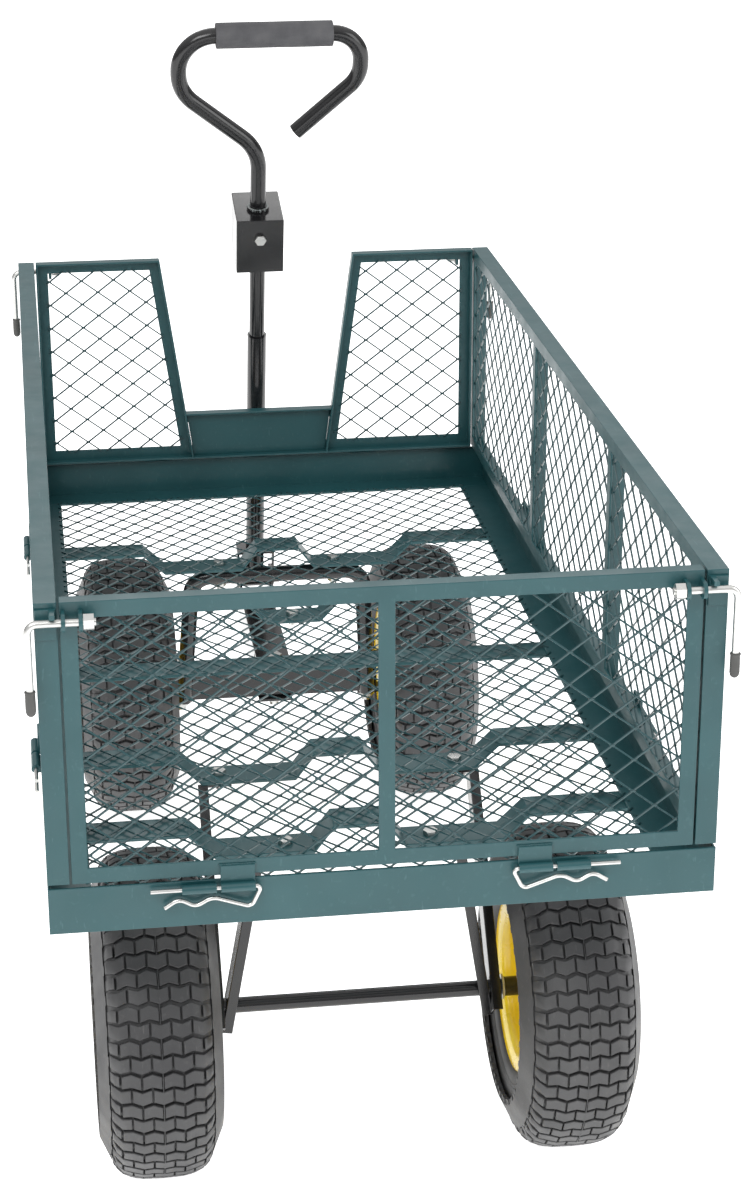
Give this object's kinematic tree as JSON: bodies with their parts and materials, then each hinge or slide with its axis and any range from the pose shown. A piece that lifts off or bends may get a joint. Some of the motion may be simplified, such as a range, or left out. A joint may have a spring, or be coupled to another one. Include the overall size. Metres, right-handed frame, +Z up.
{
  "type": "garden cart",
  "caption": "Steel garden cart with a mesh tray, fold-down mesh sides, notched front panel, block-tread turf tyres, pivoting front axle and a folding D-loop pull handle.",
  "frame": {"origin": "centre of the bounding box's base, on the floor under the wheels", "axes": "+X to the right seen from behind, +Y forward to the handle, +Z up"},
  "size_m": [0.632, 1.364, 1.0093],
  "materials": {
    "green_paint": "semi-gloss dark teal-green powder coat",
    "black_paint": "gloss black powder coat",
    "zinc_steel": "bright zinc plating",
    "grip_foam": "matt dark grey foam",
    "grip_rubber": "matt dark grey rubber",
    "yellow_paint": "gloss yellow paint",
    "tyre_rubber": "matt black rubber"
  },
  "bodies": {
    "chassis": {"tray_rail_left": "green_paint", "tray_rail_right": "green_paint", "tray_rail_rear": "green_paint", "tray_rail_front": "green_paint", "deck_mesh": "green_paint", "brace_rear": "green_paint", "brace_mid_rear": "green_paint", "brace_centre": "green_paint", "brace_mid_front": "green_paint", "brace_front": "green_paint", "tray_hinge_barrels": "green_paint", "brace_bolts": "zinc_steel", "rear_axle": "black_paint", "axle_struts": "black_paint", "axle_spacers": "black_paint", "front_hoop": "black_paint", "steering_beam": "black_paint", "steering_bolts": "zinc_steel", "front_panel_frame": "green_paint", "front_panel_mesh": "green_paint", "front_notch_plate": "green_paint", "front_hinge_clips": "zinc_steel"},
    "gate": {"gate_frame": "green_paint", "gate_mesh": "green_paint"},
    "left_panel": {"left_panel_frame": "green_paint", "left_panel_mesh": "green_paint"},
    "right_panel": {"right_panel_frame": "green_paint", "right_panel_mesh": "green_paint"},
    "drawbar": {"drawbar": "black_paint", "tongue_bolt": "zinc_steel"},
    "knuckle_left": {"knuckle_left": "black_paint"},
    "knuckle_right": {"knuckle_right": "black_paint"},
    "tie_bar": {"tie_bar": "black_paint"},
    "handle": {"tongue_tube": "black_paint", "handle_rod": "black_paint", "foam_grip": "grip_foam", "hitch_box": "black_paint", "hitch_bolt": "zinc_steel"},
    "wheel_rear_left": {"tyre_rear_left": "tyre_rubber", "rim_rear_left": "yellow_paint"},
    "wheel_rear_right": {"tyre_rear_right": "tyre_rubber", "rim_rear_right": "yellow_paint"},
    "wheel_front_left": {"tyre_front_left": "tyre_rubber", "rim_front_left": "yellow_paint"},
    "wheel_front_right": {"tyre_front_right": "tyre_rubber", "rim_front_right": "yellow_paint"},
    "latch_rear_left": {"latch_rod_rear_left": "zinc_steel", "latch_grip_rear_left": "grip_rubber"},
    "latch_rear_right": {"latch_rod_rear_right": "zinc_steel", "latch_grip_rear_right": "grip_rubber"},
    "latch_front_left": {"latch_rod_front_left": "zinc_steel", "latch_grip_front_left": "grip_rubber"},
    "latch_front_right": {"latch_rod_front_right": "zinc_steel", "latch_grip_front_right": "grip_rubber"},
    "clip_rear_left": {"clip_rear_left": "zinc_steel"},
    "clip_rear_right": {"clip_rear_right": "zinc_steel"},
    "clip_left_rear": {"clip_left_rear": "zinc_steel"},
    "clip_left_front": {"clip_left_front": "zinc_steel"},
    "clip_right_rear": {"clip_right_rear": "zinc_steel"},
    "clip_right_front": {"clip_right_front": "zinc_steel"}
  },
  "joints": [
    {"name": "gate_fold", "type": "hinge", "parent": "chassis", "child": "gate", "pos_m": [0, -0.67, 0.4155], "axis": [1, 0, 0], "range_deg": [0, 180]},
    {"name": "left_panel_fold", "type": "hinge", "parent": "chassis", "child": "left_panel", "pos_m": [-0.311, -0.054, 0.4155], "axis": [0, -1, 0], "range_deg": [0, 180]},
    {"name": "right_panel_fold", "type": "hinge", "parent": "chassis", "child": "right_panel", "pos_m": [0.311, -0.054, 0.4155], "axis": [0, 1, 0], "range_deg": [0, 180]},
    {"name": "steer", "type": "hinge", "parent": "chassis", "child": "drawbar", "pos_m": [0, 0.404, 0.165], "axis": [0, 0, 1], "range_deg": [-15, 15]},
    {"name": "knuckle_left_turn", "type": "hinge", "parent": "chassis", "child": "knuckle_left", "pos_m": [-0.122, 0.404, 0.165], "axis": [0, 0, 1], "range_deg": [-15, 15]},
    {"name": "knuckle_right_turn", "type": "hinge", "parent": "chassis", "child": "knuckle_right", "pos_m": [0.122, 0.404, 0.165], "axis": [0, 0, 1], "range_deg": [-15, 15]},
    {"name": "tie_bar_turn", "type": "hinge", "parent": "drawbar", "child": "tie_bar", "pos_m": [0, 0.454, 0.134], "axis": [0, 0, 1], "range_deg": [-15, 15]},
    {"name": "handle_pitch", "type": "hinge", "parent": "drawbar", "child": "handle", "pos_m": [0, 0.664, 0.208], "axis": [-1, 0, 0], "range_deg": [0, 100]},
    {"name": "wheel_rear_left_spin", "type": "hinge", "parent": "chassis", "child": "wheel_rear_left", "pos_m": [-0.206, -0.444, 0.165], "axis": [1, 0, 0], "continuous": true},
    {"name": "wheel_rear_right_spin", "type": "hinge", "parent": "chassis", "child": "wheel_rear_right", "pos_m": [0.206, -0.444, 0.165], "axis": [1, 0, 0], "continuous": true},
    {"name": "wheel_front_left_spin", "type": "hinge", "parent": "knuckle_left", "child": "wheel_front_left", "pos_m": [-0.192, 0.404, 0.165], "axis": [1, 0, 0], "continuous": true},
    {"name": "wheel_front_right_spin", "type": "hinge", "parent": "knuckle_right", "child": "wheel_front_right", "pos_m": [0.192, 0.404, 0.165], "axis": [1, 0, 0], "continuous": true},
    {"name": "latch_rear_left_turn", "type": "hinge", "parent": "gate", "child": "latch_rear_left", "pos_m": [-0.28, -0.674, 0.679], "axis": [1, 0, 0], "continuous": true},
    {"name": "latch_rear_right_turn", "type": "hinge", "parent": "gate", "child": "latch_rear_right", "pos_m": [0.28, -0.674, 0.679], "axis": [1, 0, 0], "continuous": true},
    {"name": "latch_front_left_turn", "type": "hinge", "parent": "chassis", "child": "latch_front_left", "pos_m": [-0.28, 0.566, 0.679], "axis": [1, 0, 0], "continuous": true},
    {"name": "latch_front_right_turn", "type": "hinge", "parent": "chassis", "child": "latch_front_right", "pos_m": [0.28, 0.566, 0.679], "axis": [1, 0, 0], "continuous": true},
    {"name": "clip_rear_left_pull", "type": "slide", "parent": "chassis", "child": "clip_rear_left", "axis": [1, 0, 0], "range_m": [0, 0.1]},
    {"name": "clip_rear_right_pull", "type": "slide", "parent": "chassis", "child": "clip_rear_right", "axis": [-1, 0, 0], "range_m": [0, 0.1]},
    {"name": "clip_left_rear_pull", "type": "slide", "parent": "chassis", "child": "clip_left_rear", "axis": [0, 1, 0], "range_m": [0, 0.1]},
    {"name": "clip_left_front_pull", "type": "slide", "parent": "chassis", "child": "clip_left_front", "axis": [0, 1, 0], "range_m": [0, 0.1]},
    {"name": "clip_right_rear_pull", "type": "slide", "parent": "chassis", "child": "clip_right_rear", "axis": [0, 1, 0], "range_m": [0, 0.1]},
    {"name": "clip_right_front_pull", "type": "slide", "parent": "chassis", "child": "clip_right_front", "axis": [0, 1, 0], "range_m": [0, 0.1]}
  ],
  "couplings": [
    {"joint": "knuckle_left_turn", "follows": "steer", "ratio": 1},
    {"joint": "knuckle_right_turn", "follows": "steer", "ratio": 1},
    {"joint": "tie_bar_turn", "follows": "steer", "ratio": -1}
  ]
}
